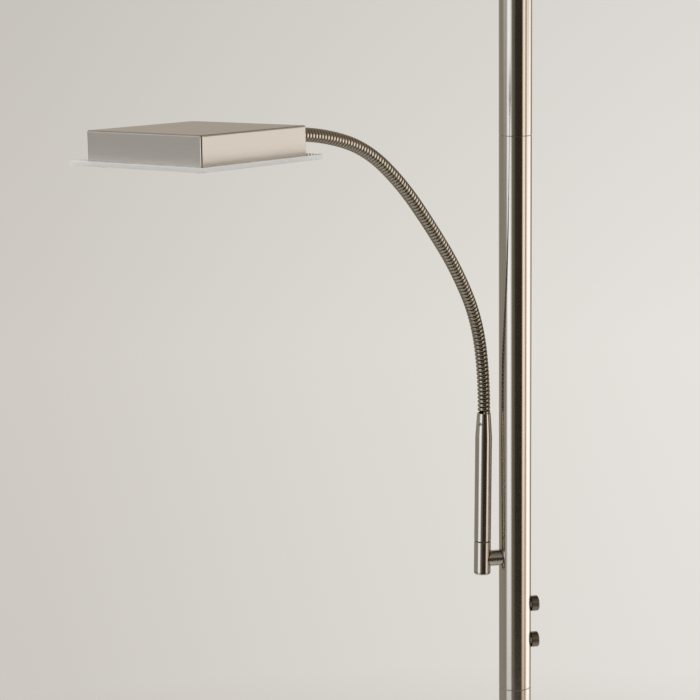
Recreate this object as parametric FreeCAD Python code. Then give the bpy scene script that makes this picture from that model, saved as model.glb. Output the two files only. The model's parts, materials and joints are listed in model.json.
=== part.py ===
import FreeCAD, Part
import math
import os

# Torchiere floor lamp with a reading light on a flexible neck.
# Millimetres, +Z up. The origin is the centre of the base's underside, on the pole's axis.
# The line from the reading arm through the pole to the dimmer knobs is the X axis, knobs at +X.

V = FreeCAD.Vector
X_AXIS = V(1, 0, 0)
Y_AXIS = V(0, 1, 0)
Z_AXIS = V(0, 0, 1)
ORIGIN = V(0, 0, 0)
HEXAGON_CORNERS = 6
SAME_PLACE = 1e-4

# ---- driving dimensions --------------------------------------------------------------------------

# pole
pole_diameter = 25.0
pole_wall = 1.2
section_length = 437.5
section_count = 4
seam_bevel = 0.35
coupling_length = 52.0
coupling_bore = 13.0
coupling_lead = 1.0
coupling_fit = 0.05

# base
base_width = 250.0
base_height = 18.5
base_sheet = 1.5
base_corner = 3.0
base_edge = 1.6
pad_thickness = 2.0
pad_inset = 2.0
weight_fit = 0.6
weight_draft = 3.0
collar_diameter = 38.0
collar_height = 5.0
collar_edge = 1.5
collar_socket_floor = 2.5
rod_diameter = 10.0
rod_bore = 6.6
rod_fit = 0.2
nut_thickness = 5.0
nut_flats = 17.0
nut_sunk = 0.3
thread_proud = 1.0
washer_diameter = 28.0
washer_thickness = 1.5
insert_length = 16.0
inlet_diameter = 8.0
inlet_hole = 5.8
inlet_flange = 11.0
inlet_lip = 1.6
inlet_edge = 0.8
inlet_height = 9.5
lead_slot_width = 12.0

# dimmers and their knobs, heights above the seam below them
knob_diameter = 12.1
knob_reach = 18.8
knob_edge = 0.9
knob_gap = 0.35
knob_recess_diameter = 10.0
knob_recess_depth = 2.5
knob_heights = {"upper": 67.2, "lower": 37.4}
dimmer_width = 13.0
dimmer_depth = 9.0
dimmer_height = 15.0
dimmer_neck_diameter = 7.0
dimmer_neck_reach = 15.0
shaft_end_gap = 0.3
dimmer_nut_flats = 8.0
dimmer_nut_thickness = 1.8
shaft_diameter = 4.0
shaft_running_fit = 0.05
knob_cap_thickness = 1.8
hole_fit = 0.1

# reading arm: hub, knuckle and tube
arm_offset = 26.7
knuckle_height = 107.1
arm_swing = 39.43
arm_lean = 1.3
hub_diameter = 13.0
hub_below = 10.4
hub_above = 14.5
hub_chamber_diameter = 10.0
hub_bore = 8.2
hub_ledge = 7.0
hub_bevel = 0.35
hub_cap_thickness = 1.5
hub_cap_edge = 1.1
hub_cap_plug = 2.5
knuckle_diameter = 12.4
knuckle_core_diameter = 10.4
knuckle_relief = 0.6
knuckle_rod_diameter = 7.8
knuckle_rod_bore = 5.0
knuckle_head_diameter = 8.8
knuckle_head_thickness = 1.4
knuckle_nut_diameter = 12.0
knuckle_nut_thickness = 3.0
saddle_thickness = 2.4
swivel_washer_thickness = 0.4
swivel_washer_diameter = 12.2
stem_running_fit = 0.05
stem_bore = 5.2
stem_in_tube = 12.0
stem_tail = 1.8
clip_thickness = 0.8
clip_diameter = 9.4
clip_groove_depth = 0.8
clip_play = 0.3
clip_mouth = 3.2
tube_diameter = 13.0
tube_tip_diameter = 10.5
tube_bore = 8.6
tube_taper = 19.2
tube_length = 102.4
tube_tip_edge = 0.4
ferrule_length = 15.0
ferrule_fit = 0.05
grub_diameter = 3.0
grub_depth = 8.3
grub_sunk = 0.3
grub_socket_diameter = 1.5
grub_socket_depth = 1.0

# flexible neck: arcs of equal length, each one link of the bending chain
neck_diameter = 9.6
neck_core_diameter = 8.0
neck_bore = 5.0
neck_arc_length = 49.3
neck_last_arc_length = 40.3
neck_arc_angles = [11.9, 21.9, 9.6, 3.4, 10.1, 19.9, 10.7]
rib_pitch = 6.0
rib_land = 3.0
rib_flank = 1.0
link_gap = 1.6
link_ball_gap = 0.3

# reading head and torchiere head, both made as a light box with a glass plate
reading_side = 96.9
reading_depth = 18.4
reading_glass_side = 113.5
reading_glass_thickness = 3.0
torchiere_side = 200.0
torchiere_depth = 30.0
torchiere_glass_side = 232.0
torchiere_glass_thickness = 4.0
box_sheet = 1.4
box_bend = 1.3
box_back_bend = 1.2
tray_sheet = 1.2
tray_fit = 0.4
board_thickness = 1.6
board_margin = 9.0
led_side = 3.5
led_height = 0.8
reading_led_rows = 4
torchiere_led_rows = 5
board_nut_room = 7.0
diffuser_thickness = 2.0
glass_corner = 2.0
glass_bevel = 0.5
screw_diameter = 3.0
screw_inset = 8.0
screw_head_diameter = 7.0
screw_head_height = 1.8
screw_head_edge = 0.9
screw_bite = 8.0
screw_end_gap = 1.0
boss_diameter = 8.0
screw_fit = 0.15
head_ferrule_diameter = 11.0
head_ferrule_length = 9.0
head_ferrule_edge = 1.0
head_stud_diameter = 8.0
head_stud_bore = 5.0
head_nut_flats = 11.0
head_nut_thickness = 3.0
tray_notch = 18.0
top_flange_diameter = 44.0
top_flange_height = 6.0
top_flange_edge = 2.0
top_spigot_length = 24.0
driver_width = 14.0
driver_height = 118.0
driver_corner = 1.0

# ---- places worked out from them -----------------------------------------------------------------

pole_radius = pole_diameter / 2
bore_radius = pole_radius - pole_wall
pole_foot = base_height
pole_top = pole_foot + section_count * section_length
switch_seam = pole_foot + 2 * section_length
hub_point = V(-arm_offset, 0, switch_seam + knuckle_height)
plug_diameter = 2 * (bore_radius - coupling_fit)
rod_hole = rod_diameter + 2 * rod_fit
socket_floor = pole_foot + collar_socket_floor
weight_foot = pad_thickness
weight_top = base_height - base_sheet
washer_seat = weight_foot + nut_sunk + nut_thickness + washer_thickness


# ---- plain shapes --------------------------------------------------------------------------------

def rod(diameter, low, high):
    """A cylinder on the Z axis between two heights."""
    return Part.makeCylinder(diameter / 2, high - low, V(0, 0, low))


def rod_x(diameter, low, high, height=0.0):
    """A cylinder along X between two stations, its axis at a given height."""
    return Part.makeCylinder(diameter / 2, high - low, V(low, 0, height), X_AXIS)


def turned(points):
    """A solid of revolution about Z from (radius, height) corners."""
    corners = [V(radius, 0, height) for radius, height in points]
    face = Part.Face(Part.makePolygon(corners + corners[:1]))
    return face.revolve(ORIGIN, Z_AXIS, 360)


def block(width, depth, low, high):
    """A box centred on the Z axis between two heights."""
    return Part.makeBox(width, depth, high - low, V(-width / 2, -depth / 2, low))


def rising_edges(shape):
    """The edges of a straight or drafted block that run from its foot to its top."""
    return [edge for edge in shape.Edges if abs(edge.Vertexes[0].Z - edge.Vertexes[-1].Z) > SAME_PLACE]


def edges_at(shape, height):
    """The edges that lie wholly at one height."""
    return [edge for edge in shape.Edges
            if max(abs(edge.BoundBox.ZMin - height), abs(edge.BoundBox.ZMax - height)) < SAME_PLACE]


def rounded_block(width, low, high, corner):
    """A square plate with rounded upright corners."""
    plate = block(width, width, low, high)
    return plate.makeFillet(corner, rising_edges(plate))


def hexagon_reach(flats):
    """From a hexagon's middle to its corners, from its width across the flats."""
    return flats / 2 / math.cos(math.pi / HEXAGON_CORNERS)


def hexagon(flats, low, high):
    """A hexagonal prism on the Z axis, given across its flats."""
    turns = [2 * math.pi * k / HEXAGON_CORNERS for k in range(HEXAGON_CORNERS + 1)]
    corners = [V(math.cos(turn), math.sin(turn), 0) * hexagon_reach(flats) for turn in turns]
    prism = Part.Face(Part.makePolygon(corners)).extrude(V(0, 0, high - low))
    return prism.translated(V(0, 0, low))


def along_x(shape, station, height=0.0):
    """Turns a shape made on Z so that its axis runs along +X from a station."""
    turn = FreeCAD.Rotation(Y_AXIS, 90)
    return shape.transformGeometry(FreeCAD.Placement(V(station, 0, height), turn).toMatrix())


def moved(shape, placement):
    """A copy of a shape put into another frame."""
    copy = shape.copy()
    copy.Placement = placement.multiply(copy.Placement)
    return copy


def four_corners(reach):
    """The four corner points of a square of half-width reach."""
    return [V(sx * reach, sy * reach, 0) for sx in (-1, 1) for sy in (-1, 1)]


def save(name, shape):
    """Writes one piece, or a group of alike pieces, as its own file."""
    shape.exportStep("parts/" + name + ".step")


# ---- base ----------------------------------------------------------------------------------------

def base_pad():
    """Felt sheet under the whole base."""
    return rounded_block(base_width - 2 * pad_inset, 0, pad_thickness, base_corner)


def base_cover():
    """Square pressed cover, open below, with bent edges and holes for the rod and the inlet."""
    shell = rounded_block(base_width, pad_thickness, base_height, base_corner)
    shell = shell.makeFillet(base_edge, edges_at(shell, base_height))
    inside = rounded_block(base_width - 2 * base_sheet, pad_thickness, weight_top, base_corner - base_sheet)
    shell = shell.cut(inside)
    shell = shell.cut(rod(rod_hole, weight_top, base_height))
    return shell.cut(inlet_axis_rod(inlet_diameter + 2 * hole_fit, base_width / 2 - 2 * base_sheet,
                                    base_width / 2 + base_sheet))


def inlet_axis_rod(diameter, low, high):
    """A cylinder along +Y at the height of the lead's inlet."""
    return Part.makeCylinder(diameter / 2, high - low, V(0, low, inlet_height), Y_AXIS)


def base_weight():
    """Cast weight with drafted sides, recessed for the nut and slotted for the lead."""
    width = base_width - 2 * base_sheet - 2 * weight_fit
    outlines = [square(width, weight_top), square(width - 2 * weight_draft, weight_foot)]
    weight = Part.makeLoft(outlines, True, True)
    weight = weight.makeFillet(base_corner - base_sheet, rising_edges(weight))
    weight = weight.cut(rod(rod_hole, weight_foot, weight_top))
    weight = weight.cut(rod(washer_diameter + 2 * rod_fit, weight_foot, washer_seat))
    start = math.sqrt((washer_diameter / 2) ** 2 - (lead_slot_width / 2) ** 2)
    slot = Part.makeBox(lead_slot_width, base_width / 2, inlet_height + inlet_flange / 2 - weight_foot,
                        V(-lead_slot_width / 2, start, weight_foot))
    return weight.cut(slot)


def square(width, height):
    """The outline of a level square on the Z axis."""
    turns = ((-1, -1), (1, -1), (1, 1), (-1, 1), (-1, -1))
    return Part.makePolygon([V(sx * width / 2, sy * width / 2, height) for sx, sy in turns])


def lead_inlet():
    """Flanged bushing in the cover's back edge, bored for the mains lead."""
    outer = base_width / 2
    inner = outer - base_sheet
    bushing = inlet_axis_rod(inlet_diameter, inner - inlet_lip, outer + inlet_lip)
    for face in (outer, inner - inlet_lip):
        bushing = bushing.fuse(inlet_axis_rod(inlet_flange, face, face + inlet_lip))
    bushing = bushing.removeSplitter()
    rims = [edge for edge in bushing.Edges if abs(edge.BoundBox.YMin - outer - inlet_lip) < SAME_PLACE]
    bushing = bushing.makeChamfer(inlet_edge, rims)
    return bushing.cut(inlet_axis_rod(inlet_hole, 0, base_width))


def base_rod():
    """Hollow threaded rod that ties the weight, the cover and the pole's foot together."""
    low = weight_foot + nut_sunk
    high = pole_foot + collar_height + insert_length
    return rod(rod_diameter, low, high).cut(rod(rod_bore, low, high))


def base_washer():
    """Broad washer in the weight's recess."""
    washer = rod(washer_diameter, washer_seat - washer_thickness, washer_seat)
    return washer.cut(rod(rod_hole, 0, washer_seat))


def base_nut():
    """Nut under the washer, sunk a little above the pad."""
    high = washer_seat - washer_thickness
    return hexagon(nut_flats, high - nut_thickness, high).cut(rod(rod_diameter, 0, high))


def pole_collar():
    """Low turned collar on the cover; the pole's foot stands in it."""
    hole, socket, outer = rod_hole / 2, pole_radius + coupling_fit, collar_diameter / 2
    high = pole_foot + collar_height
    return turned([(hole, pole_foot), (outer, pole_foot), (outer, high - collar_edge),
                   (outer - collar_edge, high), (socket, high), (socket, socket_floor), (hole, socket_floor)])


def pole_insert():
    """Threaded plug brazed into the foot of the pole, screwed down on the rod."""
    plug = rod(plug_diameter, socket_floor, socket_floor + insert_length)
    return plug.cut(rod(rod_diameter, socket_floor, socket_floor + insert_length))


# ---- pole ----------------------------------------------------------------------------------------

def section_low(number):
    """The height of a section's lower end; the first one stands in the collar's socket."""
    if number == 0:
        return socket_floor
    return pole_foot + number * section_length


def pole_section(number):
    """One tube with small bevels at its ends, drilled where it carries the arm and the dimmers."""
    low = section_low(number)
    high = pole_foot + (number + 1) * section_length
    outer, inner = pole_radius, bore_radius
    tube = turned([(inner, low), (outer - seam_bevel, low), (outer, low + seam_bevel),
                   (outer, high - seam_bevel), (outer - seam_bevel, high), (inner, high)])
    if low == switch_seam:
        tube = tube.cut(rod_x(knuckle_rod_diameter + 2 * hole_fit, -pole_diameter, 0, hub_point.z))
        for height in knob_heights.values():
            neck = dimmer_neck_diameter + 2 * hole_fit
            tube = tube.cut(rod_x(neck, 0, pole_diameter, switch_seam + height))
    return tube


def pole_coupling(seam):
    """Bored plug inside the joint of two sections, with a lead at each end."""
    outer, bore = plug_diameter / 2, coupling_bore / 2
    low, high = seam - coupling_length / 2, seam + coupling_length / 2
    return turned([(bore, low), (outer - coupling_lead, low), (outer, low + coupling_lead),
                   (outer, high - coupling_lead), (outer - coupling_lead, high), (bore, high)])


def led_driver():
    """Slim driver that stands on the top coupling inside the pole."""
    low = pole_foot + (section_count - 1) * section_length + coupling_length / 2
    body = block(driver_width, driver_width, low, low + driver_height)
    return body.makeFillet(driver_corner, rising_edges(body))


# ---- dimmers and knobs ---------------------------------------------------------------------------

dimmer_face = math.sqrt(bore_radius ** 2 - (dimmer_width / 2) ** 2) - coupling_fit
dimmer_middle = dimmer_face - dimmer_depth / 2


def dimmer(height):
    """Rotary dimmer inside the pole, its threaded neck through the wall."""
    z = switch_seam + height
    body = Part.makeBox(dimmer_depth, dimmer_width, dimmer_height,
                        V(dimmer_face - dimmer_depth, -dimmer_width / 2, z - dimmer_height / 2))
    body = body.fuse(rod_x(dimmer_neck_diameter, dimmer_face, dimmer_neck_reach, z))
    return body.cut(rod_x(shaft_diameter + 2 * shaft_running_fit, dimmer_middle, pole_diameter, z))


def dimmer_nut(height):
    """Thin nut on the dimmer's neck, hidden in the knob's recess."""
    z = switch_seam + height
    nut = along_x(hexagon(dimmer_nut_flats, 0, dimmer_nut_thickness), pole_radius + coupling_fit, z)
    return nut.cut(rod_x(dimmer_neck_diameter, 0, pole_diameter, z))


def dimmer_shaft(height):
    """Shaft that turns in the dimmer and carries the knob."""
    tip = knob_reach - knob_cap_thickness
    return rod_x(shaft_diameter, dimmer_middle + shaft_end_gap, tip, switch_seam + height)


def knob(height):
    """Turned knob with a rounded end, recessed behind for the nut and bored for the shaft."""
    back = pole_radius + knob_gap
    length = knob_reach - back
    body = rod(knob_diameter, 0, length)
    body = body.makeFillet(knob_edge, edges_at(body, length))
    body = body.cut(rod(knob_recess_diameter, 0, knob_recess_depth))
    body = body.cut(rod(shaft_diameter, 0, length - knob_cap_thickness))
    return along_x(body, back, switch_seam + height)


# ---- reading arm, in its own frame: Z along the tube, origin at the hub's middle -----------------

arm_frame = FreeCAD.Placement(hub_point, FreeCAD.Rotation(Z_AXIS, arm_swing).multiply(
    FreeCAD.Rotation(Y_AXIS, arm_lean)))
knuckle_hole = knuckle_rod_diameter + 2 * hole_fit
saddle_seat = -(bore_radius - saddle_thickness)
tube_foot = hub_above + swivel_washer_thickness
tube_tip = hub_above + tube_length


def arm_hub():
    """Turned hub with bevelled ends: a chamber below, a bearing bore above, a side hole toward the pole."""
    body = rod(hub_diameter, -hub_below, hub_above)
    body = body.makeChamfer(hub_bevel, edges_at(body, -hub_below) + edges_at(body, hub_above))
    body = body.cut(rod(hub_chamber_diameter, -hub_below, hub_above - hub_ledge))
    body = body.cut(rod(hub_bore, 0, hub_above))
    return moved(body, arm_frame).cut(rod_x(knuckle_hole, -arm_offset, 0, hub_point.z))


def hub_end_cap():
    """Cap with a rounded edge, plugged into the hub's foot."""
    low = -hub_below - hub_cap_thickness
    cap = rod(hub_diameter, low, -hub_below)
    cap = cap.makeFillet(hub_cap_edge, edges_at(cap, low))
    cap = cap.fuse(rod(hub_chamber_diameter - 2 * coupling_fit, -hub_below, -hub_below + hub_cap_plug))
    return moved(cap.removeSplitter(), arm_frame)


def between_hub_and_pole(diameter, clear):
    """A round bar on the knuckle's axis, hollowed at both ends to stand clear of the hub and the pole."""
    bar = rod_x(diameter, -arm_offset, 0, hub_point.z)
    hub = moved(rod(hub_diameter + 2 * clear, -2 * hub_below, 2 * hub_above), arm_frame)
    pole = rod(pole_diameter + 2 * clear, hub_point.z - pole_diameter, hub_point.z + pole_diameter)
    return bar.cut(hub).cut(pole)


def knuckle():
    """Short round spacer between hub and pole; only its core bears, so a thin gap shows round each end."""
    body = between_hub_and_pole(knuckle_core_diameter, 0)
    body = body.fuse(between_hub_and_pole(knuckle_diameter, knuckle_relief))
    return body.cut(rod_x(knuckle_hole, -arm_offset, 0, hub_point.z))


def knuckle_rod():
    """Hollow headed rod that draws the hub and the knuckle against the pole."""
    chamber, head = hub_chamber_diameter / 2, knuckle_head_diameter / 2
    seat = -arm_offset + math.sqrt(chamber ** 2 - head ** 2) - hole_fit
    tip = saddle_seat + knuckle_nut_thickness + thread_proud
    body = rod_x(knuckle_rod_diameter, seat - knuckle_head_thickness, tip, hub_point.z)
    body = body.fuse(rod_x(knuckle_head_diameter, seat - knuckle_head_thickness, seat, hub_point.z))
    return body.cut(rod_x(knuckle_rod_bore, -2 * arm_offset, 0, hub_point.z))


def knuckle_saddle():
    """Saddle washer that fits the pole's bore."""
    body = rod_x(knuckle_nut_diameter, -bore_radius, saddle_seat, hub_point.z)
    body = body.common(rod(2 * bore_radius, hub_point.z - pole_diameter, hub_point.z + pole_diameter))
    return body.cut(rod_x(knuckle_hole, -pole_diameter, 0, hub_point.z))


def knuckle_nut():
    """Round nut on the knuckle's rod, inside the pole."""
    body = rod_x(knuckle_nut_diameter, saddle_seat, saddle_seat + knuckle_nut_thickness, hub_point.z)
    return body.cut(rod_x(knuckle_rod_diameter, -pole_diameter, 0, hub_point.z))


def swivel_washer():
    """Thin washer the tube turns on; it shows as the dark seam above the hub."""
    body = rod(swivel_washer_diameter, hub_above, tube_foot)
    return moved(body.cut(rod(hub_bore, 0, tube_foot)), arm_frame)


def swivel_stem():
    """Hollow stem: fixed in the tube, turning in the hub, grooved for the clip."""
    thick = tube_bore / 2 - ferrule_fit
    thin = hub_bore / 2 - stem_running_fit
    groove_top = hub_above - hub_ledge - clip_play
    groove_low = groove_top - clip_thickness
    low = groove_low - stem_tail
    body = turned([(stem_bore / 2, low), (thin, low), (thin, groove_low),
                   (thin - clip_groove_depth, groove_low), (thin - clip_groove_depth, groove_top),
                   (thin, groove_top), (thin, tube_foot), (thick, tube_foot),
                   (thick, tube_foot + stem_in_tube), (stem_bore / 2, tube_foot + stem_in_tube)])
    return moved(body, arm_frame)


def swivel_clip():
    """Open spring clip in the stem's groove, under the hub's ledge."""
    high = hub_above - hub_ledge - clip_play
    inner = hub_bore - 2 * (stem_running_fit + clip_groove_depth)
    ring = rod(clip_diameter, high - clip_thickness, high).cut(rod(inner, 0, hub_above))
    mouth = Part.makeBox(clip_diameter, clip_mouth, hub_above, V(0, -clip_mouth / 2, 0))
    return moved(ring.cut(mouth), arm_frame)


def arm_tube():
    """Turned tube with a tapered tip, drilled for the grub screw on the neck's side."""
    radius, tip, bore = tube_diameter / 2, tube_tip_diameter / 2, tube_bore / 2
    body = turned([(bore, tube_foot), (radius - seam_bevel, tube_foot), (radius, tube_foot + seam_bevel),
                   (radius, tube_tip - tube_taper), (tip, tube_tip - tube_tip_edge),
                   (tip - tube_tip_edge, tube_tip), (bore, tube_tip)])
    hole = grub_axis_rod(grub_diameter + 2 * coupling_fit, tube_bore / 2, tube_diameter)
    return moved(body.cut(hole), arm_frame)


def grub_axis_rod(diameter, low, high):
    """A cylinder on the grub screw's axis, which points to the head's side, between two radii."""
    return rod_x(diameter, -high, -low, tube_tip - grub_depth)


def grub_screw():
    """Socket set screw in the tube's wall, just below its tip."""
    surface = tube_tip_diameter / 2 + (tube_diameter - tube_tip_diameter) / 2 * grub_depth / tube_taper
    outer = surface - grub_sunk
    body = grub_axis_rod(grub_diameter, tube_bore / 2, outer)
    body = body.cut(grub_axis_rod(grub_socket_diameter, outer - grub_socket_depth, outer))
    return moved(body, arm_frame)


# ---- flexible neck -------------------------------------------------------------------------------

def neck_arcs():
    """Every arc as (length, bend in degrees); the last one brings the head level."""
    last_bend = 90 + arm_lean - sum(neck_arc_angles)
    return [(neck_arc_length, bend) for bend in neck_arc_angles] + [(neck_last_arc_length, last_bend)]


def arc_station(start, angle, arc, distance):
    """Point and direction on an arc, as (x, z) and degrees from the tube's axis toward -X."""
    length, bend = arc
    radius = length / math.radians(bend)
    first = math.radians(angle)
    there = first + distance / radius
    x = start[0] - radius * (math.cos(first) - math.cos(there))
    z = start[1] + radius * (math.sin(there) - math.sin(first))
    return (x, z), math.degrees(there)


def neck_joints():
    """The arcs' end points and directions, from the tube's tip to the head's ferrule."""
    joints = [((0.0, tube_tip), 0.0)]
    for arc in neck_arcs():
        joints.append(arc_station(*joints[-1], arc, arc[0]))
    return joints


def neck_frame(point, angle):
    """A frame on the neck, Z along it and X held square to the plane of the bends."""
    turn = FreeCAD.Rotation(Y_AXIS, -angle).multiply(FreeCAD.Rotation(Z_AXIS, 90))
    return FreeCAD.Placement(V(point[0], 0, point[1]), turn)


def neck_circle(frame, diameter, shift=0.0):
    """A circle round the neck, square to a frame and shifted along it."""
    wire = Part.Wire([Part.Circle(V(0, 0, shift), Z_AXIS, diameter / 2).toShape()])
    wire.Placement = frame
    return wire


def ribbed_arc(joint, arc, low, high):
    """The ribs between two distances on an arc: each is a straight land between two short flanks."""
    count = round((high - low) / rib_pitch)
    pitch = (high - low) / count
    half = rib_land / 2
    rings = []
    for rib in range(count):
        frame = neck_frame(*arc_station(*joint, arc, low + pitch / 2 + rib * pitch))
        start = -pitch / 2 if rib == 0 else -half
        end = pitch / 2 if rib == count - 1 else half
        if rib > 0:
            rings.append(neck_circle(frame, neck_core_diameter, start - rib_flank))
        rings.append(neck_circle(frame, neck_diameter, start))
        rings.append(neck_circle(frame, neck_diameter, end))
        if rib < count - 1:
            rings.append(neck_circle(frame, neck_core_diameter, end + rib_flank))
    return Part.makeLoft(rings, True, True)


def neck_link(number):
    """One arc of the ribbed neck, bored for the lead: a ball above, and a cup or the ferrule below."""
    joint, arc = neck_joints()[number], neck_arcs()[number]
    length = arc[0]
    first, last = number == 0, number == len(neck_arcs()) - 1
    link = ribbed_arc(joint, arc, 0 if first else link_gap / 2, length if last else length - link_gap / 2)
    ball = neck_core_diameter / 2
    if first:
        link = link.fuse(rod(tube_bore - 2 * ferrule_fit, tube_tip - ferrule_length, tube_tip))
        link = link.cut(rod(neck_bore, tube_tip - ferrule_length, tube_tip))
    else:
        link = link.cut(Part.makeSphere(ball + link_ball_gap, V(joint[0][0], 0, joint[0][1])))
    if not last:
        top = neck_joints()[number + 1][0]
        link = link.fuse(Part.makeSphere(ball, V(top[0], 0, top[1])))
    over = neck_core_diameter
    hole = [neck_circle(neck_frame(*arc_station(*joint, arc, distance)), neck_bore)
            for distance in (-over, length / 3, length * 2 / 3, length + over)]
    return moved(link.cut(Part.makeLoft(hole, True, True)), arm_frame)


# ---- light boxes, in their own frame: closed back at z = 0, glass at the open side ---------------

def box_shell(side, depth, entry):
    """Folded box with bent edges, its back closed, pierced where the lead comes in."""
    shell = rounded_block(side, 0, depth, box_bend)
    shell = shell.makeFillet(box_back_bend, edges_at(shell, 0))
    inside = block(side - 2 * box_sheet, side - 2 * box_sheet, box_sheet, depth)
    return shell.cut(inside).cut(entry)


def box_tray(side, depth, entry):
    """Inner tray that spreads the heat, carries the board and holds up the diffuser."""
    width = side - 2 * box_sheet - 2 * tray_fit
    rim = depth - diffuser_thickness
    tray = block(width, width, box_sheet, rim)
    tray = tray.cut(block(width - 2 * tray_sheet, width - 2 * tray_sheet, box_sheet + tray_sheet, rim))
    for corner in four_corners(side / 2 - screw_inset):
        tray = tray.fuse(rod(boss_diameter, box_sheet + tray_sheet, rim).translate(corner))
        tray = tray.cut(rod(screw_diameter, rim - screw_bite, rim).translate(corner))
    return tray.removeSplitter().cut(entry)


def box_board(side, rows, clear, entry):
    """Circuit board on the tray's floor, with light-emitting chips on a square grid."""
    width = side - 2 * box_sheet - 2 * board_margin
    low = box_sheet + tray_sheet
    high = low + board_thickness
    board = block(width, width, low, high)
    for corner in four_corners(side / 2 - screw_inset):
        board = board.cut(rod(boss_diameter + 2 * hole_fit, low, high).translate(corner))
    board = board.cut(entry)
    span = width - 2 * board_margin
    for i in range(rows):
        for j in range(rows):
            place = V(span * (i / (rows - 1) - 0.5), span * (j / (rows - 1) - 0.5), 0)
            if place.Length > clear:
                board = board.fuse(block(led_side, led_side, high, high + led_height).translate(place))
    return board


def box_diffuser(side, depth):
    """Opal sheet in the box's mouth, resting on the tray's rim."""
    width = side - 2 * box_sheet - 2 * tray_fit
    sheet = block(width, width, depth - diffuser_thickness, depth)
    return pierced(sheet, side, depth)


def box_glass(side, depth, glass_side, thickness):
    """Clear plate that overhangs the box all round, with ground edges."""
    plate = rounded_block(glass_side, depth, depth + thickness, glass_corner)
    plate = plate.makeChamfer(glass_bevel, edges_at(plate, depth) + edges_at(plate, depth + thickness))
    return pierced(plate, side, depth + thickness)


def pierced(plate, side, high):
    """A plate with the four screw holes."""
    for corner in four_corners(side / 2 - screw_inset):
        plate = plate.cut(rod(screw_diameter + 2 * screw_fit, 0, high).translate(corner))
    return plate


def box_screws(side, depth, thickness):
    """Four low screws that hold the glass and the diffuser on the tray's bosses."""
    seat, tip = depth + thickness, depth - diffuser_thickness - screw_bite + screw_end_gap
    head, shank = screw_head_diameter / 2, screw_diameter / 2
    top = seat + screw_head_height
    screw = turned([(0, tip), (shank, tip), (shank, seat), (head, seat), (head, top - screw_head_edge),
                    (head - screw_head_edge, top), (0, top)])
    return Part.makeCompound([screw.translated(corner) for corner in four_corners(side / 2 - screw_inset)])


def save_light_box(name, frame, side, depth, glass_side, thickness, rows, entries, clear):
    """Writes all the pieces of one light box, placed in the lamp."""
    save(name + "_shell", moved(box_shell(side, depth, entries["shell"]), frame))
    save(name + "_tray", moved(box_tray(side, depth, entries["tray"]), frame))
    save(name + "_led_board", moved(box_board(side, rows, clear, entries["board"]), frame))
    save(name + "_diffuser", moved(box_diffuser(side, depth), frame))
    save(name + "_glass", moved(box_glass(side, depth, glass_side, thickness), frame))
    save(name + "_glass_screws", moved(box_screws(side, depth, thickness), frame))


# ---- reading head --------------------------------------------------------------------------------

def ferrule_frame():
    """The neck's end, Z pointing on into the head."""
    point, angle = neck_joints()[-1]
    return arm_frame.multiply(FreeCAD.Placement(V(point[0], 0, point[1]), FreeCAD.Rotation(Y_AXIS, -angle)))


def reading_frame():
    """The reading head's frame: mouth down, the wall that takes the neck turned to it."""
    middle = V(reading_depth / 2, 0, head_ferrule_length + reading_side / 2)
    return ferrule_frame().multiply(FreeCAD.Placement(middle, FreeCAD.Rotation(Y_AXIS, -90)))


def head_ferrule():
    """Turned fitting on the neck's end, with a hollow stud through the head's wall."""
    outer, stud, bore = head_ferrule_diameter / 2, head_stud_diameter / 2, head_stud_bore / 2
    tip = head_ferrule_length + box_sheet + head_nut_thickness + thread_proud
    body = turned([(bore, 0), (outer - head_ferrule_edge, 0), (outer, head_ferrule_edge),
                   (outer, head_ferrule_length), (stud, head_ferrule_length), (stud, tip), (bore, tip)])
    return moved(body, ferrule_frame())


def head_nut():
    """Nut on the stud, inside the reading head's wall."""
    seat = head_ferrule_length + box_sheet
    body = hexagon(head_nut_flats, seat, seat + head_nut_thickness)
    return moved(body.cut(rod(head_stud_diameter, 0, seat + head_nut_thickness)), ferrule_frame())


def save_reading_head():
    """Writes the reading head; the neck comes in through the middle of one side wall."""
    edge = reading_side / 2
    stud_hole = head_stud_diameter + 2 * hole_fit
    hole = rod_x(stud_hole, -edge - box_sheet, -edge + 2 * box_sheet, reading_depth / 2)
    notch = Part.makeBox(board_margin, tray_notch, reading_depth, V(-edge, -tray_notch / 2, box_sheet))
    entries = {"shell": hole, "tray": notch, "board": notch}
    save("head_ferrule", head_ferrule())
    save("head_nut", head_nut())
    save_light_box("head", reading_frame(), reading_side, reading_depth, reading_glass_side,
                   reading_glass_thickness, reading_led_rows, entries, 0)


# ---- torchiere head ------------------------------------------------------------------------------

box_floor = pole_top + top_flange_height


def top_fitting():
    """Flanged fitting: spigot in the pole's top, flange under the box, hollow stud through it."""
    bore, stud = rod_bore / 2, rod_diameter / 2
    spigot, flange = plug_diameter / 2, top_flange_diameter / 2
    foot = pole_top - top_spigot_length
    tip = box_floor + box_sheet + tray_sheet + nut_thickness + thread_proud
    return turned([(bore, foot), (spigot, foot), (spigot, pole_top), (pole_radius, pole_top),
                   (flange, box_floor - top_flange_edge), (flange, box_floor), (stud, box_floor),
                   (stud, tip), (bore, tip)])


def top_nut():
    """Nut that clamps the torchiere's box and tray on the fitting."""
    seat = box_floor + box_sheet + tray_sheet
    return hexagon(nut_flats, seat, seat + nut_thickness).cut(rod(rod_diameter, seat, seat + nut_thickness))


def save_torchiere_head():
    """Writes the torchiere head; the pole comes in through the middle of its back."""
    hole = rod(rod_hole, 0, torchiere_depth)
    clear = hexagon_reach(nut_flats) + board_nut_room
    entries = {"shell": hole, "tray": hole, "board": rod(2 * clear, 0, torchiere_depth)}
    frame = FreeCAD.Placement(V(0, 0, box_floor), FreeCAD.Rotation())
    save("top_fitting", top_fitting())
    save("top_nut", top_nut())
    save_light_box("torchiere", frame, torchiere_side, torchiere_depth, torchiere_glass_side,
                   torchiere_glass_thickness, torchiere_led_rows, entries, clear)


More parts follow.
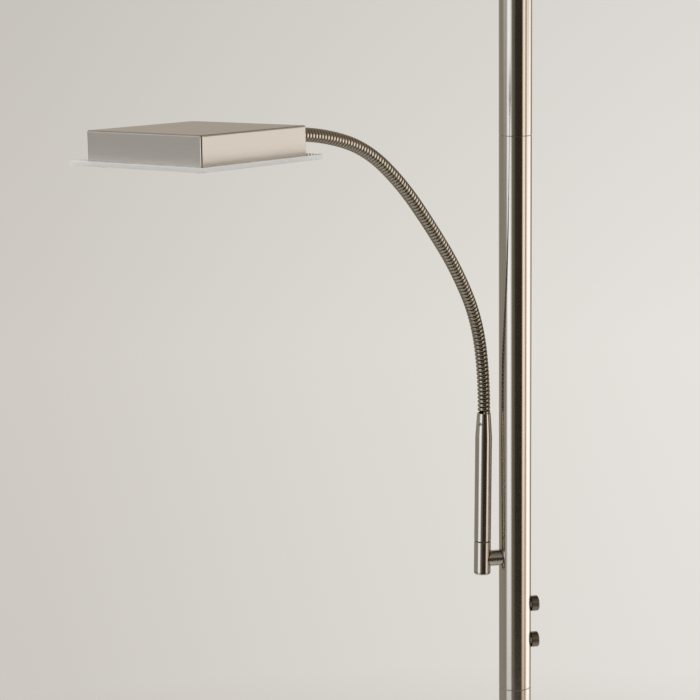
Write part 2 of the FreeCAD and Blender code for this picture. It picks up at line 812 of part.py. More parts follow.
# ---- all pieces ----------------------------------------------------------------------------------

os.makedirs("parts", exist_ok=True)

save("base_pad", base_pad())
save("base_cover", base_cover())
save("base_weight", base_weight())
save("lead_inlet", lead_inlet())
save("base_rod", base_rod())
save("base_washer", base_washer())
save("base_nut", base_nut())
save("pole_collar", pole_collar())
save("pole_insert", pole_insert())

for number in range(section_count):
    save("pole_section_" + str(number + 1), pole_section(number))
for number in range(1, section_count):
    save("pole_coupling_" + str(number), pole_coupling(pole_foot + number * section_length))
save("led_driver", led_driver())

for place, height in knob_heights.items():
    save("dimmer_" + place, dimmer(height))
    save("dimmer_shaft_" + place, dimmer_shaft(height))
    save("knob_" + place, knob(height))
save("dimmer_nuts", Part.makeCompound([dimmer_nut(height) for height in knob_heights.values()]))

save("arm_hub", arm_hub())
save("hub_end_cap", hub_end_cap())
save("knuckle", knuckle())
save("knuckle_rod", knuckle_rod())
save("knuckle_saddle", knuckle_saddle())
save("knuckle_nut", knuckle_nut())
save("swivel_washer", swivel_washer())
save("swivel_stem", swivel_stem())
save("swivel_clip", swivel_clip())
save("arm_tube", arm_tube())
save("grub_screw", grub_screw())
for number in range(len(neck_arcs())):
    save("neck_link_" + str(number + 1), neck_link(number))

save_reading_head()
save_torchiere_head()
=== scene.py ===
import json
import math
import bpy
import numpy as np
from mathutils import Matrix


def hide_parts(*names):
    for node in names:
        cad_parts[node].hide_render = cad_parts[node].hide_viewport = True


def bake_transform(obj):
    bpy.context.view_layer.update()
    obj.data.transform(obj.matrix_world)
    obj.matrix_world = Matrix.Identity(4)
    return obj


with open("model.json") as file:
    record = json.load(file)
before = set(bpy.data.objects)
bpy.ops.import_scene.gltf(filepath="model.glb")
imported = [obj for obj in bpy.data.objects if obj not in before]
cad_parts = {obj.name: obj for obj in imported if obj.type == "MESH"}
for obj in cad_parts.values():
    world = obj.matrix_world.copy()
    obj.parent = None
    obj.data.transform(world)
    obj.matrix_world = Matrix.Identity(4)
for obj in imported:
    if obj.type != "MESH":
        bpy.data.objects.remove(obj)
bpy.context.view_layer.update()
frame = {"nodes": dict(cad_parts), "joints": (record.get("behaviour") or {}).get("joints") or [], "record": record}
SLOT_OF = {part["node"]: part["material_slot"] for part in frame["record"]["subparts"]}
JOINTS = {joint["name"]: joint for joint in frame["joints"]}

MM = 0.001

# Camera, from the fit of the pole's edges and seams: level with the reading head, looking a little down.
# Its angles are in degrees, and its focal length and the picture's side in pixels.
CAMERA_PLACE = (-424.4 * MM, -1383.7 * MM, 1435.7 * MM)
CAMERA_HEADING = 78.0
CAMERA_PITCH = -10.53
CAMERA_ROLL = 0.88
PICTURE_SIDE = 700
FOCAL_PIXELS = 1900
SENSOR = 36.0

# Flexible neck, as the wound tube it is: flattened wire in a close coil over an inner winding coloured near black
# as painted shade in the gaps between the turns.
# The tube's length goes from the arm's pivot to the neck's foot, the last arc from the last joint on.
TUBE_LENGTH = 102.4 * MM
LAST_ARC = 40.3 * MM
COIL_DIAMETER = 9.6 * MM
COIL_PITCH = 3.17 * MM
WIRE_WIDTH = 2.45 * MM
WIRE_DEPTH = 1.7 * MM
# Power of the cosine and the sine in the wire's section.
WIRE_SQUARENESS = 0.5
INNER_DIAMETER = 7.0 * MM
INNER_BORE = 5.0 * MM
# Free space between the coil and what holds the neck at either end.
END_GAP = 0.3 * MM
# Mesh steps round the neck, round the wire and along the inner winding.
TURN_STEPS = 40
WIRE_STEPS = 16
INNER_STEP = 2 * MM

# Brush marks: spacing and length, and how far they vary the metal's own colour and roughness.
BRUSH_SPACING = 0.35 * MM
BRUSH_LENGTH = 22 * MM
BRUSH_SHADES = (0.94, 1.04)
BRUSH_ROUGHNESS = (0.88, 1.12)
# A face looks up or down where its normal's upright part is above this.
LEVEL_ABOVE = 0.7
# The largest part of a normal along the sheet's own axes is below the first number on a fold and above
# the second on a flat side. Its upright part counts this many times, so that level folds are left out.
FOLD_SIDES = (0.95, 0.998)
UPRIGHT_WEIGHT = 4.0
# A glass plate's ground edge turns into its clear face between these upright parts of the normal.
GLASS_FACE = (0.9, 0.99)
# Angle of the reading head's sides to the lamp's own, in degrees.
HEAD_TURN = -39.43


# ---- nodes ---------------------------------------------------------------------------------------

def srgb(code, strength=1.0):
    """Linear colour of an sRGB hex value, times a strength."""
    channels = np.array([int(code[k:k + 2], 16) for k in (1, 3, 5)]) / 255
    linear = np.where(channels <= 0.04045, channels / 12.92, ((channels + 0.055) / 1.055) ** 2.4)
    return (*(linear * strength).tolist(), 1.0)


def add(tree, kind, inputs, stops=(), **settings):
    """Adds a node; each input is a value or the output socket of another node. A colour ramp also
    takes its stops, as (position, colour)."""
    node = tree.nodes.new(kind)
    for name, value in settings.items():
        setattr(node, name, value)
    for number, (position, colour) in enumerate(stops):
        elements = node.color_ramp.elements
        element = elements[number] if number < len(elements) else elements.new(1.0)
        element.position = position
        element.color = colour
    for name, value in inputs.items():
        if isinstance(value, bpy.types.NodeSocket):
            tree.links.new(value, node.inputs[name])
        else:
            node.inputs[name].default_value = value
    return node


def finish_material(name, base):
    """An empty material with its output, shader and the object's own coordinates."""
    material = bpy.data.materials.new(name)
    material.use_nodes = True
    tree = material.node_tree
    tree.nodes.clear()
    shader = add(tree, "ShaderNodeBsdfPrincipled", {"Base Color": base})
    add(tree, "ShaderNodeOutputMaterial", {"Surface": shader.outputs["BSDF"]})
    place = add(tree, "ShaderNodeTexCoord", {})
    return material, tree, shader, place


# ---- materials -----------------------------------------------------------------------------------

def brushed(name, colour, roughness, smear=0.6, across="Z", top_across=None, turn=0.0, folds=None):
    """Brushed metal: fine marks that lie square to the axis across and smear reflections along it. Where
    top_across is given, faces that look up or down are marked square to that axis instead. The axes of
    the marks are turned about Z by minus the turn, in degrees. Where a roughness for the folds is given,
    the surface takes it on upright folds, where it faces none of its own four sides."""
    material, tree, shader, place = finish_material(name, srgb(colour))
    angle = math.radians(turn)
    turned = add(tree, "ShaderNodeMapping", {"Vector": place.outputs["Object"], "Rotation": (0, 0, angle)})

    def marks(axis):
        scale = [1 / BRUSH_SPACING if letter == axis else 1 / BRUSH_LENGTH for letter in "XYZ"]
        sized = add(tree, "ShaderNodeMapping", {"Vector": turned.outputs["Vector"], "Scale": scale})
        return add(tree, "ShaderNodeTexNoise", {"Vector": sized.outputs["Vector"], "Scale": 1.0,
                                                "Detail": 3.0, "Roughness": 0.6}).outputs["Fac"]

    def way(axis):
        x, y, z = (float(letter == axis) for letter in "XYZ")
        return x * math.cos(angle) + y * math.sin(angle), y * math.cos(angle) - x * math.sin(angle), z

    pattern = marks(across)
    smeared = way(across)
    if top_across:
        upright = add(tree, "ShaderNodeSeparateXYZ", {"Vector": place.outputs["Normal"]})
        facing = add(tree, "ShaderNodeMath", {0: upright.outputs["Z"]}, operation="ABSOLUTE")
        flat = add(tree, "ShaderNodeMath", {0: facing.outputs["Value"], 1: LEVEL_ABOVE},
                   operation="GREATER_THAN").outputs["Value"]
        pattern = add(tree, "ShaderNodeMix", {"Factor": flat, "A": pattern,
                                              "B": marks(top_across)}).outputs["Result"]
        smeared = add(tree, "ShaderNodeMix", {"Factor": flat, 4: smeared, 5: way(top_across)},
                      data_type="VECTOR").outputs[1]
    tangent = add(tree, "ShaderNodeVectorTransform", {"Vector": smeared},
                  convert_from="OBJECT", convert_to="WORLD")
    dark, light = (srgb(colour, share) for share in BRUSH_SHADES)
    shade = add(tree, "ShaderNodeValToRGB", {"Fac": pattern}, [(0.25, dark), (0.75, light)])
    fine, coarse = (roughness * share for share in BRUSH_ROUGHNESS)
    rough = add(tree, "ShaderNodeMapRange", {"Value": pattern, "From Min": 0.3, "From Max": 0.7,
                                             "To Min": fine, "To Max": coarse})
    if folds:
        own = add(tree, "ShaderNodeMapping", {"Vector": place.outputs["Normal"], "Rotation": (0, 0, angle)})
        sizes = add(tree, "ShaderNodeVectorMath", {0: own.outputs["Vector"]}, operation="ABSOLUTE")
        sides = add(tree, "ShaderNodeSeparateXYZ", {"Vector": sizes.outputs["Vector"]})
        level = add(tree, "ShaderNodeMath", {0: sides.outputs["X"], 1: sides.outputs["Y"]},
                    operation="MAXIMUM")
        lying = add(tree, "ShaderNodeMath", {0: sides.outputs["Z"], 1: UPRIGHT_WEIGHT},
                    operation="MULTIPLY")
        square = add(tree, "ShaderNodeMath", {0: level.outputs["Value"], 1: lying.outputs["Value"]},
                     operation="MAXIMUM")
        face = add(tree, "ShaderNodeMapRange", {"Value": square.outputs["Value"],
                                                "From Min": FOLD_SIDES[0], "From Max": FOLD_SIDES[1]})
        rough = add(tree, "ShaderNodeMix", {"Factor": face.outputs["Result"], "A": folds,
                                            "B": rough.outputs["Result"]})
    bump = add(tree, "ShaderNodeBump", {"Height": pattern, "Strength": 0.6, "Distance": 0.012 * MM})
    tree.links.new(shade.outputs["Color"], shader.inputs["Base Color"])
    tree.links.new(rough.outputs["Result"], shader.inputs["Roughness"])
    tree.links.new(bump.outputs["Normal"], shader.inputs["Normal"])
    tree.links.new(tangent.outputs["Vector"], shader.inputs["Tangent"])
    shader.inputs["Anisotropic"].default_value = smear
    shader.inputs["Metallic"].default_value = 1.0
    return material


def grained(name, colours, roughness, grain, depth, metallic=0.0):
    """A surface with an even grain of a real size: two close colours, a little relief."""
    material, tree, shader, place = finish_material(name, srgb(colours[0]))
    pattern = add(tree, "ShaderNodeTexNoise", {"Vector": place.outputs["Object"], "Scale": 1 / grain,
                                               "Detail": 4.0, "Roughness": 0.6}).outputs["Fac"]
    shade = add(tree, "ShaderNodeValToRGB", {"Fac": pattern},
                [(0.3, srgb(colours[0])), (0.7, srgb(colours[1]))])
    bump = add(tree, "ShaderNodeBump", {"Height": pattern, "Strength": 0.5, "Distance": depth})
    tree.links.new(shade.outputs["Color"], shader.inputs["Base Color"])
    tree.links.new(bump.outputs["Normal"], shader.inputs["Normal"])
    shader.inputs["Roughness"].default_value = roughness
    shader.inputs["Metallic"].default_value = metallic
    return material


# Steel tube, brushed round and round on a belt, then nickel plated: satin, warm grey, fine rings.
tube_nickel = brushed("steel_tube_brushed_nickel_plated", "#cbc5bc", 0.146)
# Steel sheet, brushed along its length before folding, then nickel plated: duller, with long straight
# marks, and rubbed bright along its upright folds.
sheet_nickel = brushed("steel_sheet_brushed_nickel_plated", "#cdc8c0", 0.32, 0.95, top_across="X",
                       folds=0.05)
# The same sheet on the reading head, whose sides stand askew to the lamp's.
head_nickel = brushed("steel_sheet_brushed_nickel_plated_head", "#cdc8c0", 0.32, 0.95, top_across="X",
                      turn=HEAD_TURN, folds=0.05)
# Turned steel lying along X, polished round on the lathe and nickel plated.
cross_nickel = brushed("turned_steel_nickel_plated", "#c9c3ba", 0.19, across="X")
# Turned brass in a darker plate, as on control knobs.
knob_nickel = brushed("turned_brass_dark_nickel_plated", "#8d867b", 0.33, across="X")
# Drawn steel wire, nickel plated bright: smooth, with sharper glints than the tubes.
wire_nickel = grained("drawn_steel_wire_nickel_plated", ("#a69e90", "#b3ab9d"), 0.08,
                      0.6 * MM, 0.004 * MM, 1.0)
# The winding under the outer wire: dull, and coloured near-black brown as painted shade in the gaps between the
# coil's turns.
winding_painted_shade = grained("inner_steel_winding_painted_shade", ("#1b1714", "#28231d"), 0.55, 0.5 * MM, 0.01 * MM, 1.0)
# Mild steel, zinc plated: bluish grey, slightly cloudy.
zinc_steel = grained("mild_steel_zinc_plated", ("#a9acad", "#bcbdbb"), 0.38, 1.8 * MM, 0.01 * MM, 1.0)
# Bright steel screw heads, nickel plated and barrel polished.
screw_nickel = grained("steel_screw_nickel_polished", ("#cfc9bf", "#d8d3ca"), 0.14,
                       0.7 * MM, 0.004 * MM, 1.0)
# Aluminium sheet as it leaves the mill: pale and softly mottled.
mill_aluminium = grained("aluminium_sheet_mill_finish", ("#c6c8c9", "#d3d4d4"), 0.42,
                         2.5 * MM, 0.01 * MM, 1.0)
# Grey iron, sand cast and dip painted black: a coarse skin under the paint.
cast_iron = grained("grey_iron_sand_cast_painted", ("#1c1c1c", "#2a2a29"), 0.6, 0.9 * MM, 0.12 * MM)
# Wool felt, pressed: matt, with a short nap.
wool_felt = grained("wool_felt_pressed", ("#161616", "#262524"), 0.95, 0.45 * MM, 0.2 * MM)
# Polyamide, injection moulded black with a fine spark-eroded grain.
black_polyamide = grained("polyamide_moulded_black", ("#171717", "#1f1f1f"), 0.5, 0.3 * MM, 0.02 * MM)
# ABS, injection moulded off-white.
white_abs = grained("abs_moulded_white", ("#dedcd6", "#e6e4df"), 0.42, 0.4 * MM, 0.01 * MM)
# Glass-fibre laminate under white solder mask: the weave just shows.
solder_mask = grained("fibre_laminate_white_solder_mask", ("#e4e4df", "#efefeb"), 0.35,
                      0.5 * MM, 0.01 * MM)


def opal_acrylic():
    """Acrylic sheet, extruded opal: milky, lets light through softly, satin face."""
    material, tree, shader, place = finish_material("acrylic_sheet_extruded_opal", srgb("#f1efe9"))
    haze = add(tree, "ShaderNodeTexNoise", {"Vector": place.outputs["Object"], "Scale": 1 / (6 * MM),
                                            "Detail": 2.0}).outputs["Fac"]
    shade = add(tree, "ShaderNodeValToRGB", {"Fac": haze}, [(0.3, srgb("#efede6")), (0.7, srgb("#f5f4ef"))])
    tree.links.new(shade.outputs["Color"], shader.inputs["Base Color"])
    shader.inputs["Roughness"].default_value = 0.38
    shader.inputs["IOR"].default_value = 1.49
    shader.inputs["Subsurface Weight"].default_value = 0.3
    shader.inputs["Subsurface Radius"].default_value = (1.0, 1.0, 0.9)
    shader.inputs["Subsurface Scale"].default_value = 2 * MM
    return material


def float_glass():
    """Float glass plate, tempered: clear faces, and ground edges that scatter a pale light. It casts no
    shadow, so light reaches the diffuser behind it."""
    material, tree, shader, place = finish_material("float_glass_tempered_ground_edges", srgb("#fbfdfd"))
    upright = add(tree, "ShaderNodeSeparateXYZ", {"Vector": place.outputs["Normal"]})
    facing = add(tree, "ShaderNodeMath", {0: upright.outputs["Z"]}, operation="ABSOLUTE")
    face = {"Value": facing.outputs["Value"], "From Min": GLASS_FACE[0], "From Max": GLASS_FACE[1]}
    rough = add(tree, "ShaderNodeMapRange", {**face, "To Min": 0.9, "To Max": 0.02})
    clear = add(tree, "ShaderNodeMapRange", {**face, "To Min": 0.35, "To Max": 1.0})
    ray = add(tree, "ShaderNodeLightPath", {})
    lighting = add(tree, "ShaderNodeMath", {0: ray.outputs["Is Shadow Ray"],
                                            1: ray.outputs["Is Diffuse Ray"]}, operation="MAXIMUM")
    seen = add(tree, "ShaderNodeMath", {0: 1.0, 1: lighting.outputs["Value"]}, operation="SUBTRACT")
    grit = add(tree, "ShaderNodeTexNoise", {"Vector": place.outputs["Object"], "Scale": 1 / (0.4 * MM),
                                            "Detail": 3.0}).outputs["Fac"]
    bump = add(tree, "ShaderNodeBump", {"Height": grit, "Strength": 0.08, "Distance": 0.02 * MM})
    tree.links.new(rough.outputs["Result"], shader.inputs["Roughness"])
    tree.links.new(clear.outputs["Result"], shader.inputs["Transmission Weight"])
    tree.links.new(seen.outputs["Value"], shader.inputs["Alpha"])
    tree.links.new(bump.outputs["Normal"], shader.inputs["Normal"])
    shader.inputs["IOR"].default_value = 1.52
    return material


MATERIALS = {
    "felt_pad": wool_felt,
    "cast_weight": cast_iron,
    "inlet_plastic": black_polyamide,
    "plated_steel": zinc_steel,
    "brushed_nickel": tube_nickel,
    "neck_nickel": wire_nickel,
    "knob_nickel": knob_nickel,
    "switch_plastic": white_abs,
    "nylon_washer": black_polyamide,
    "tray_aluminium": mill_aluminium,
    "circuit_board": solder_mask,
    "opal_acrylic": opal_acrylic(),
    "clear_glass": float_glass(),
    "screw_nickel": screw_nickel,
}
OWN_MATERIAL = {
    "base_cover": sheet_nickel,
    "torchiere_shell": sheet_nickel,
    "head_shell": head_nickel,
    "knuckle": cross_nickel,
}


def dress_nodes():
    """Gives every carried-over node its finish through its material slots."""
    for name, node in frame["nodes"].items():
        material = OWN_MATERIAL.get(name, MATERIALS[SLOT_OF[name]])
        for slot in node.material_slots:
            slot.link = "OBJECT"
            slot.material = material


# ---- meshes --------------------------------------------------------------------------------------

def wall_faces(index):
    """Quads between the rows of a grid of point numbers that closes round its columns, each from its
    first point on round the columns and then to the next row."""
    turned = np.roll(index, -1, axis=1)
    return np.stack([index[:-1], turned[:-1], turned[1:], index[1:]], axis=-1).reshape(-1, 4)


def mesh_object(name, points, faces, material):
    """A smooth mesh object at the origin from points in metres and lists of faces."""
    mesh = bpy.data.meshes.new(name)
    mesh.from_pydata(points.tolist(), [], faces)
    mesh.materials.append(material)
    mesh.polygons.foreach_set("use_smooth", np.ones(len(faces), bool))
    mesh.update()
    obj = bpy.data.objects.new(name, mesh)
    bpy.context.scene.collection.objects.link(obj)
    return obj


# ---- flexible neck -------------------------------------------------------------------------------

def neck_arcs():
    """Start points, directions, bends and lengths of the neck's arcs. Each arc leaves along the last
    one's end direction and passes through the next joint; the last one ends level."""
    swivel = JOINTS["arm_swivel"]
    direction = np.array(swivel["axis"])
    start = np.array(swivel["pos_m"]) + TUBE_LENGTH * direction
    stops = [np.array(joint["pos_m"]) for name, joint in JOINTS.items() if name.startswith("neck_")]
    arcs = []
    for stop in stops:
        chord = stop - start
        reach = np.linalg.norm(chord)
        chord = chord / reach
        half = math.acos(float(np.clip(direction @ chord, -1, 1)))
        arcs.append((start, direction, 2 * half, reach * half / math.sin(half)))
        direction = 2 * (direction @ chord) * chord - direction
        start = stop
    bend = math.asin(direction[2])
    arcs.append((start, direction, bend, LAST_ARC))
    return [np.array(column) for column in zip(*arcs)]


STARTS, DIRECTIONS, BENDS, LENGTHS = neck_arcs()
BINORMAL = np.array(JOINTS["neck_bend_1"]["axis"])
ARC_COUNT = len(LENGTHS)
# Distances of the arcs' ends from the tube's tip, along the neck. Those between its ends are its joints.
ARC_ENDS = np.concatenate([[0.0], np.cumsum(LENGTHS)])


def neck_frame(distance):
    """Centre, direction and inward normal of the neck at distances from the tube's tip: on an arc of
    radius r after angle a, centre = start + r (sin a t + (1 - cos a) n), direction = cos a t + sin a n."""
    arc = np.clip(np.searchsorted(ARC_ENDS, distance, side="right") - 1, 0, ARC_COUNT - 1)
    tangent = DIRECTIONS[arc]
    normal = np.cross(BINORMAL, tangent)
    radius = (LENGTHS[arc] / BENDS[arc])[..., None]
    angle = ((distance - ARC_ENDS[arc]) / LENGTHS[arc] * BENDS[arc])[..., None]
    centre = STARTS[arc] + radius * (np.sin(angle) * tangent + (1 - np.cos(angle)) * normal)
    ahead = np.cos(angle) * tangent + np.sin(angle) * normal
    inward = np.cos(angle) * normal - np.sin(angle) * tangent
    return centre, ahead, inward


def coil(low, high):
    """Flattened wire wound round the neck from one distance to another: the wire's centre stands off
    the neck's centre line by the coil's radius less half the wire's depth, and climbs one pitch a turn;
    round that centre goes the wire's section, in the plane of the radius and the neck's direction: an
    ellipse whose cosine and sine are raised to a power below one, which flattens its four sides."""
    steps = int(round((high - low) / COIL_PITCH * TURN_STEPS))
    distance = np.linspace(low, high, steps + 1)
    turn = 2 * np.pi * distance / COIL_PITCH
    centre, ahead, normal = neck_frame(distance)
    outward = np.cos(turn)[:, None] * normal + np.sin(turn)[:, None] * BINORMAL
    lean = (2 * np.pi * np.arange(WIRE_STEPS) / WIRE_STEPS)[None, :, None]
    depth, width = (half * np.sign(wave) * np.abs(wave) ** WIRE_SQUARENESS
                    for half, wave in ((WIRE_DEPTH / 2, np.cos(lean)), (WIRE_WIDTH / 2, np.sin(lean))))
    middle = centre + (COIL_DIAMETER - WIRE_DEPTH) / 2 * outward
    points = (middle[:, None] + depth * outward[:, None] + width * ahead[:, None]).reshape(-1, 3)
    index = np.arange(len(points)).reshape(-1, WIRE_STEPS)
    # The section runs the other way round than the wall's quads do, so these are turned over.
    walls = wall_faces(index)[:, [0, 3, 2, 1]]
    return points, [*walls.tolist(), index[0].tolist(), index[-1, ::-1].tolist()]


def winding(low, high):
    """The bored inner tube along the neck: circles round the centre line and square to it, of the outer
    radius on the way out and of the bore's on the way back, the last one joined to the first."""
    steps = max(2, int(math.ceil((high - low) / INNER_STEP)))
    distance = np.linspace(low, high, steps + 1)
    distance = np.concatenate([distance, distance[::-1]])
    radius = np.repeat([INNER_DIAMETER / 2, INNER_BORE / 2], steps + 1)
    centre, _, normal = neck_frame(distance)
    turn = (2 * np.pi * np.arange(TURN_STEPS) / TURN_STEPS)[None, :, None]
    circle = np.cos(turn) * normal[:, None] + np.sin(turn) * BINORMAL
    points = (centre[:, None] + radius[:, None, None] * circle).reshape(-1, 3)
    index = np.arange(len(points)).reshape(-1, TURN_STEPS)
    return points, wall_faces(np.concatenate([index, index[:1]])).tolist()


def neck_piece(number, low, high, replaced):
    """One stretch of the wound neck, from the middle of one link to the middle of the next, bending
    over the joint between them."""
    for kind, material, (points, faces) in (("coil", wire_nickel, coil(low, high)),
                                            ("winding", winding_painted_shade, winding(low, high))):
        piece = mesh_object("neck_" + kind + "_" + str(number), points, faces, material)
        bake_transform(piece)
        if kind == "coil":
            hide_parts(*replaced)


def flexible_neck():
    """All seven stretches; the first and the last also cover the half links at the neck's ends."""
    middles = (ARC_ENDS[:-1] + ARC_ENDS[1:]) / 2
    for number in range(1, ARC_COUNT):
        first, last = number == 1, number == ARC_COUNT - 1
        low = END_GAP if first else middles[number - 1]
        high = ARC_ENDS[-1] - END_GAP if last else middles[number]
        replaced = ["neck_link_" + str(number)] + (["neck_link_" + str(number + 1)] if last else [])
        neck_piece(number, low, high, replaced)


# ---- studio --------------------------------------------------------------------------------------

# Side of the floor, and how far from the lamp it starts to fade, in metres.
FLOOR_SIDE = 5.0
FADE_START = 0.5

# Bearings here are in degrees from +X, and heights go from straight down (-1) to straight up (1).
# Backdrop: its shade by bearing, all round, and how it falls off by height.
BACKDROP = [(-180, "#cbc7c1"), (-60, "#dedad4"), (40, "#ebe8e3"), (68, "#e6e2dd"), (78, "#dcd8d2"),
            (88, "#d0cbc5"), (110, "#c9c5bf"), (180, "#cbc7c1")]
BACKDROP_HEIGHTS = [(-0.40, "#fafafa"), (-0.18, "#ffffff"), (0.0, "#f4f4f4"), (0.60, "#ececec")]
# The light that matt surfaces get, by height.
DOME = [(-0.40, "#b8b6b2"), (1.0, "#ffffff")]

# What the metal mirrors at eye level, as upright panels round the lamp: bearing, colour and strength.
PANELS = [
    (-180, "#989389", 1.00),
    (-174, "#a5a199", 1.00),
    (-169, "#d8d4d6", 1.00),
    (-163, "#f6f7ff", 1.35),
    (-154, "#eff3fc", 1.78),
    (-145, "#f5faff", 1.50),
    (-137, "#f5fcff", 1.22),
    (-131, "#8f8f83", 1.00),
    (-126, "#77756a", 1.00),
    (-113, "#6a655a", 1.00),
    (-106, "#332c23", 1.00),
    (-59, "#2a241c", 1.00),
    (-54, "#c9bfb4", 1.00),
    (-50, "#ffeede", 1.50),
    (-37, "#ffeede", 1.62),
    (-31, "#ab9c80", 1.00),
    (-25, "#bcb095", 1.00),
    (-17, "#fffbf8", 1.40),
    (-10, "#fffcf9", 1.80),
    (14, "#fffcf8", 1.80),
    (23, "#fff2e6", 1.20),
    (34, "#dccdbb", 1.00),
    (46, "#5f564a", 1.00),
    (74, "#5f564a", 1.00),
    (95, "#9a958a", 1.00),
    (150, "#a09b8f", 1.00),
    (180, "#989389", 1.00),
]
# How much of the panels shows by height, and what shows beyond them: a floor, the dark under the
# panels, and a dull ceiling.
REACH = [(-0.60, 0.0), (-0.50, 0.9), (-0.44, 1.0), (0.04, 1.0), (0.14, 0.4), (0.28, 0.0)]
BEYOND = [(-1.0, "#827a6d"), (-0.93, "#756d61"), (-0.84, "#15110d"), (-0.36, "#15110d"), (0.02, "#1e1914"),
          (0.16, "#4c443b"), (0.36, "#a0968b"), (0.60, "#968c81"), (0.82, "#7a7168"), (1.0, "#6b6259")]
# Round patches over all that: a dark one on the ceiling, three pale ones on the walls and two on the
# floor. Bearing, elevation, angles from there to where a patch is full and where it ends, colour and
# strength.
PATCHES = [
    (82, 68, 20, 34, "#241f19", 1.00),
    (82, 18, 14, 36, "#d0c6ba", 1.00),
    (174, 19, 11, 25, "#f4f6fb", 1.00),
    (-4, 20, 12, 26, "#e8cdaf", 0.48),
    (-152, -35, 4, 22, "#b0ada6", 1.00),
    (-44, -35, 4, 22, "#9a8873", 1.00),
]


def bearing_stops(stops):
    """Ramp stops all the way round from (bearing, hex) or (bearing, hex, strength)."""
    return [((bearing + 180) / 360, srgb(*shade)) for bearing, *shade in stops]


def height_stops(stops):
    """Ramp stops from straight down to straight up from (height, hex)."""
    return [((height + 1) / 2, srgb(shade)) for height, shade in stops]


def mirrored_room(tree, way, turn, level):
    """What the metal mirrors: the panels by bearing as far as they reach, what lies beyond by height,
    and over them the patches, each by the cosine of the angle to its middle."""
    panels = add(tree, "ShaderNodeValToRGB", {"Fac": turn}, bearing_stops(PANELS))
    reach = add(tree, "ShaderNodeValToRGB", {"Fac": level},
                [((height + 1) / 2, (share, share, share, 1)) for height, share in REACH])
    beyond = add(tree, "ShaderNodeValToRGB", {"Fac": level}, height_stops(BEYOND))
    room = add(tree, "ShaderNodeMix", {"Factor": reach.outputs["Color"], 6: beyond.outputs["Color"],
                                       7: panels.outputs["Color"]}, data_type="RGBA").outputs[2]
    for *angles, colour, strength in PATCHES:
        aside, rise, full, edge = (math.radians(angle) for angle in angles)
        middle = (math.cos(rise) * math.cos(aside), math.cos(rise) * math.sin(aside), math.sin(rise))
        near = add(tree, "ShaderNodeVectorMath", {0: way, 1: middle}, operation="DOT_PRODUCT")
        patch = add(tree, "ShaderNodeMapRange", {"Value": near.outputs["Value"],
                                                 "From Min": math.cos(edge), "From Max": math.cos(full)})
        room = add(tree, "ShaderNodeMix", {"Factor": patch.outputs["Result"], 6: room,
                                           7: srgb(colour, strength)}, data_type="RGBA").outputs[2]
    return room


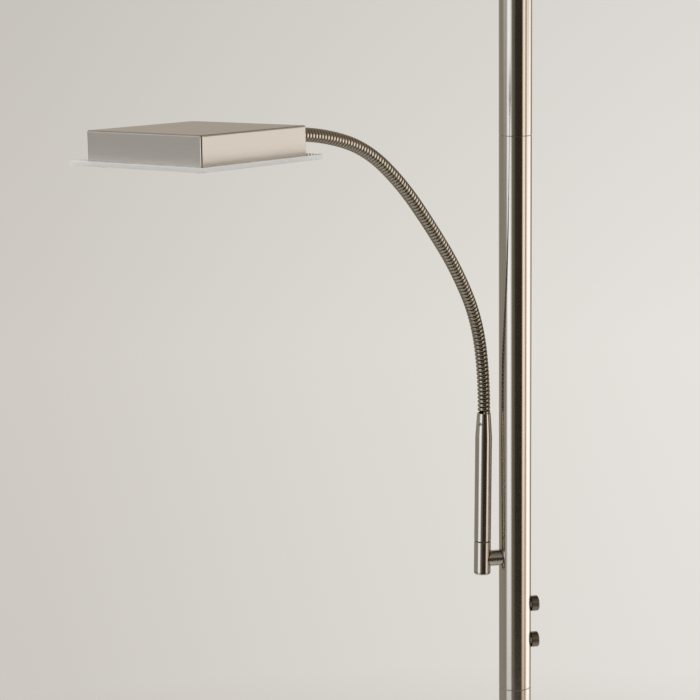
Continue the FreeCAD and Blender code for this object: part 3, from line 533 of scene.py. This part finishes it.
def studio_world():
    """Plain pale backdrop for the eye and for what is seen through glass; for the metal, a room of
    upright panels between a dull floor and a dull ceiling; for matt surfaces, one soft even dome."""
    world = bpy.data.worlds.new("studio")
    world.use_nodes = True
    tree = world.node_tree
    tree.nodes.clear()
    way = add(tree, "ShaderNodeTexCoord", {}).outputs["Generated"]
    parts = add(tree, "ShaderNodeSeparateXYZ", {"Vector": way})
    bearing = add(tree, "ShaderNodeMath", {0: parts.outputs["Y"], 1: parts.outputs["X"]},
                  operation="ARCTAN2")
    turn = add(tree, "ShaderNodeMapRange", {"Value": bearing.outputs["Value"], "From Min": -math.pi,
                                            "From Max": math.pi}).outputs["Result"]
    level = add(tree, "ShaderNodeMapRange", {"Value": parts.outputs["Z"], "From Min": -1.0,
                                             "From Max": 1.0}).outputs["Result"]
    mirrored = mirrored_room(tree, way, turn, level)
    sweep = add(tree, "ShaderNodeValToRGB", {"Fac": turn}, bearing_stops(BACKDROP))
    shade = add(tree, "ShaderNodeValToRGB", {"Fac": level}, height_stops(BACKDROP_HEIGHTS))
    backdrop = add(tree, "ShaderNodeVectorMath", {0: sweep.outputs["Color"], 1: shade.outputs["Color"]},
                   operation="MULTIPLY")
    dome = add(tree, "ShaderNodeValToRGB", {"Fac": level}, height_stops(DOME))
    ray = add(tree, "ShaderNodeLightPath", {})
    mirrors = add(tree, "ShaderNodeMath", {0: ray.outputs["Is Glossy Ray"],
                                           1: ray.outputs["Is Transmission Ray"]},
                  operation="SUBTRACT", use_clamp=True)
    soft = add(tree, "ShaderNodeMix", {"Factor": ray.outputs["Is Diffuse Ray"],
                                       6: backdrop.outputs["Vector"], 7: dome.outputs["Color"]},
               data_type="RGBA")
    light = add(tree, "ShaderNodeMix", {"Factor": mirrors.outputs["Value"], 6: soft.outputs[2],
                                        7: mirrored}, data_type="RGBA")
    shader = add(tree, "ShaderNodeBackground", {"Color": light.outputs[2], "Strength": 1.0})
    add(tree, "ShaderNodeOutputWorld", {"Surface": shader.outputs["Background"]})
    bpy.context.scene.world = world


def pale_floor():
    """Plain matt floor that fades into the backdrop at a distance."""
    side = FLOOR_SIDE / 2
    points = np.array([(-side, -side, 0), (side, -side, 0), (side, side, 0), (-side, side, 0)], float)
    material, tree, shader, place = finish_material("matt_painted_floor", srgb("#dcd7d0"))
    shader.inputs["Roughness"].default_value = 0.9
    far = add(tree, "ShaderNodeVectorMath", {0: place.outputs["Object"]}, operation="LENGTH")
    fade = add(tree, "ShaderNodeMapRange", {"Value": far.outputs["Value"], "From Min": FADE_START,
                                            "From Max": side, "To Min": 1.0, "To Max": 0.0})
    tree.links.new(fade.outputs["Result"], shader.inputs["Alpha"])
    floor = mesh_object("floor", points, [[0, 1, 2, 3]], material)


def studio_camera():
    """Camera at the photograph's place: its forward direction from heading and pitch, then the roll."""
    heading, pitch, roll = (math.radians(a) for a in (CAMERA_HEADING, CAMERA_PITCH, CAMERA_ROLL))
    forward = np.array([math.cos(heading) * math.cos(pitch), math.sin(heading) * math.cos(pitch),
                        math.sin(pitch)])
    level = np.array([math.sin(heading), -math.cos(heading), 0.0])
    up = np.cross(level, forward)
    right = math.cos(roll) * level - math.sin(roll) * up
    top = math.sin(roll) * level + math.cos(roll) * up
    data = bpy.data.cameras.new("camera")
    data.sensor_width = SENSOR
    data.lens = SENSOR * FOCAL_PIXELS / PICTURE_SIDE
    camera = bpy.data.objects.new("camera", data)
    bpy.context.scene.collection.objects.link(camera)
    columns = np.column_stack([right, top, -forward, CAMERA_PLACE])
    camera.matrix_world = Matrix([*columns.tolist(), [0, 0, 0, 1]])
    bpy.context.scene.camera = camera


dress_nodes()
flexible_neck()
studio_world()
pale_floor()
studio_camera()
bpy.context.scene.view_settings.view_transform = "Standard"
